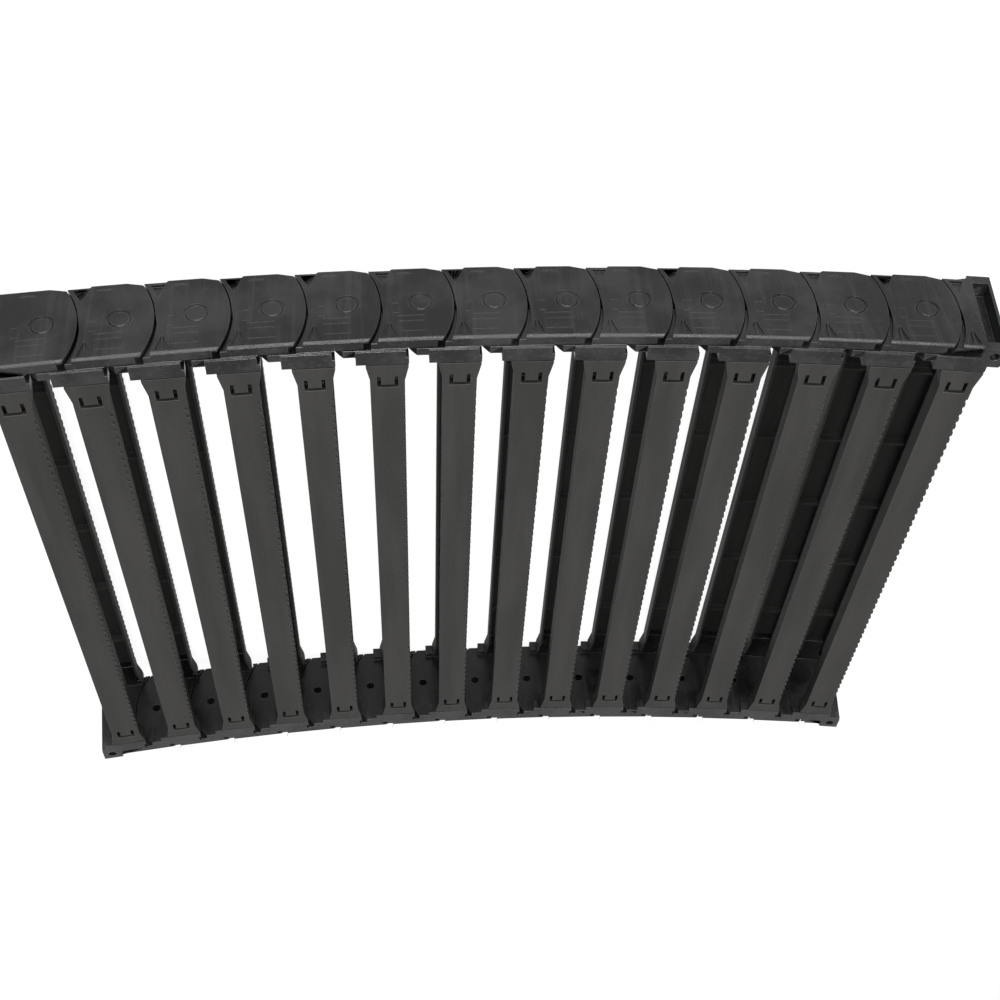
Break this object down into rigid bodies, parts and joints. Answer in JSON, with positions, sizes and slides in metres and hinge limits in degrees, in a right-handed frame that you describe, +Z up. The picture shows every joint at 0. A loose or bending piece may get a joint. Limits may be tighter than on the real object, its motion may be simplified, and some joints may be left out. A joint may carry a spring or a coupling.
{
  "type": "cable drag chain",
  "caption": "Wide enclosed-profile cable drag chain of offset hinged side plates joined by clip-on crossbars, with a screw-down bracket at each end.",
  "frame": {"origin": "centre of the chain's length and width, at the level of its lowest points", "axes": "+X along the chain from the anchor bracket to the carrier bracket, +Y across the chain from the front side plates to the back ones, +Z up, towards the inside of the bend"},
  "size_m": [0.707, 0.5, 0.0973],
  "materials": {
    "side_plate": "satin moulded black plastic, slightly scuffed",
    "crossbar": "matte moulded charcoal plastic"
  },
  "bodies": {
    "anchor": {"anchor_side_front": "side_plate", "anchor_side_back": "side_plate", "anchor_bar_top": "crossbar", "anchor_bar_bottom": "crossbar"},
    "link_02": {"link_02_side_front": "side_plate", "link_02_side_back": "side_plate", "link_02_bar_top": "crossbar", "link_02_bar_bottom": "crossbar"},
    "link_03": {"link_03_side_front": "side_plate", "link_03_side_back": "side_plate", "link_03_bar_top": "crossbar", "link_03_bar_bottom": "crossbar"},
    "link_04": {"link_04_side_front": "side_plate", "link_04_side_back": "side_plate", "link_04_bar_top": "crossbar", "link_04_bar_bottom": "crossbar"},
    "link_05": {"link_05_side_front": "side_plate", "link_05_side_back": "side_plate", "link_05_bar_top": "crossbar", "link_05_bar_bottom": "crossbar"},
    "link_06": {"link_06_side_front": "side_plate", "link_06_side_back": "side_plate", "link_06_bar_top": "crossbar", "link_06_bar_bottom": "crossbar"},
    "link_07": {"link_07_side_front": "side_plate", "link_07_side_back": "side_plate", "link_07_bar_top": "crossbar", "link_07_bar_bottom": "crossbar"},
    "link_08": {"link_08_side_front": "side_plate", "link_08_side_back": "side_plate", "link_08_bar_top": "crossbar", "link_08_bar_bottom": "crossbar"},
    "link_09": {"link_09_side_front": "side_plate", "link_09_side_back": "side_plate", "link_09_bar_top": "crossbar", "link_09_bar_bottom": "crossbar"},
    "link_10": {"link_10_side_front": "side_plate", "link_10_side_back": "side_plate", "link_10_bar_top": "crossbar", "link_10_bar_bottom": "crossbar"},
    "link_11": {"link_11_side_front": "side_plate", "link_11_side_back": "side_plate", "link_11_bar_top": "crossbar", "link_11_bar_bottom": "crossbar"},
    "link_12": {"link_12_side_front": "side_plate", "link_12_side_back": "side_plate", "link_12_bar_top": "crossbar", "link_12_bar_bottom": "crossbar"},
    "link_13": {"link_13_side_front": "side_plate", "link_13_side_back": "side_plate", "link_13_bar_top": "crossbar", "link_13_bar_bottom": "crossbar"},
    "carrier": {"carrier_side_front": "side_plate", "carrier_side_back": "side_plate", "carrier_bar_top": "crossbar", "carrier_bar_bottom": "crossbar"}
  },
  "joints": [
    {"name": "hinge_01", "type": "hinge", "parent": "anchor", "child": "link_02", "pos_m": [-0.29939, 0, 0.05409], "axis": [0, -1, 0], "range_deg": [0, 8.5]},
    {"name": "hinge_02", "type": "hinge", "parent": "link_02", "child": "link_03", "pos_m": [-0.24965, 0, 0.04902], "axis": [0, -1, 0], "range_deg": [0, 8.5]},
    {"name": "hinge_03", "type": "hinge", "parent": "link_03", "child": "link_04", "pos_m": [-0.19982, 0, 0.04486], "axis": [0, -1, 0], "range_deg": [0, 8.5]},
    {"name": "hinge_04", "type": "hinge", "parent": "link_04", "child": "link_05", "pos_m": [-0.14993, 0, 0.04162], "axis": [0, -1, 0], "range_deg": [0, 8.5]},
    {"name": "hinge_05", "type": "hinge", "parent": "link_05", "child": "link_06", "pos_m": [-0.09998, 0, 0.03931], "axis": [0, -1, 0], "range_deg": [0, 8.5]},
    {"name": "hinge_06", "type": "hinge", "parent": "link_06", "child": "link_07", "pos_m": [-0.05, 0, 0.03792], "axis": [0, -1, 0], "range_deg": [0, 8.5]},
    {"name": "hinge_07", "type": "hinge", "parent": "link_07", "child": "link_08", "pos_m": [0, 0, 0.03746], "axis": [0, -1, 0], "range_deg": [0, 8.5]},
    {"name": "hinge_08", "type": "hinge", "parent": "link_08", "child": "link_09", "pos_m": [0.05, 0, 0.03792], "axis": [0, -1, 0], "range_deg": [0, 8.5]},
    {"name": "hinge_09", "type": "hinge", "parent": "link_09", "child": "link_10", "pos_m": [0.09998, 0, 0.03931], "axis": [0, -1, 0], "range_deg": [0, 8.5]},
    {"name": "hinge_10", "type": "hinge", "parent": "link_10", "child": "link_11", "pos_m": [0.14993, 0, 0.04162], "axis": [0, -1, 0], "range_deg": [0, 8.5]},
    {"name": "hinge_11", "type": "hinge", "parent": "link_11", "child": "link_12", "pos_m": [0.19982, 0, 0.04486], "axis": [0, -1, 0], "range_deg": [0, 8.5]},
    {"name": "hinge_12", "type": "hinge", "parent": "link_12", "child": "link_13", "pos_m": [0.24965, 0, 0.04902], "axis": [0, -1, 0], "range_deg": [0, 8.5]},
    {"name": "hinge_13", "type": "hinge", "parent": "link_13", "child": "carrier", "pos_m": [0.29939, 0, 0.05409], "axis": [0, -1, 0], "range_deg": [0, 8.5]}
  ]
}
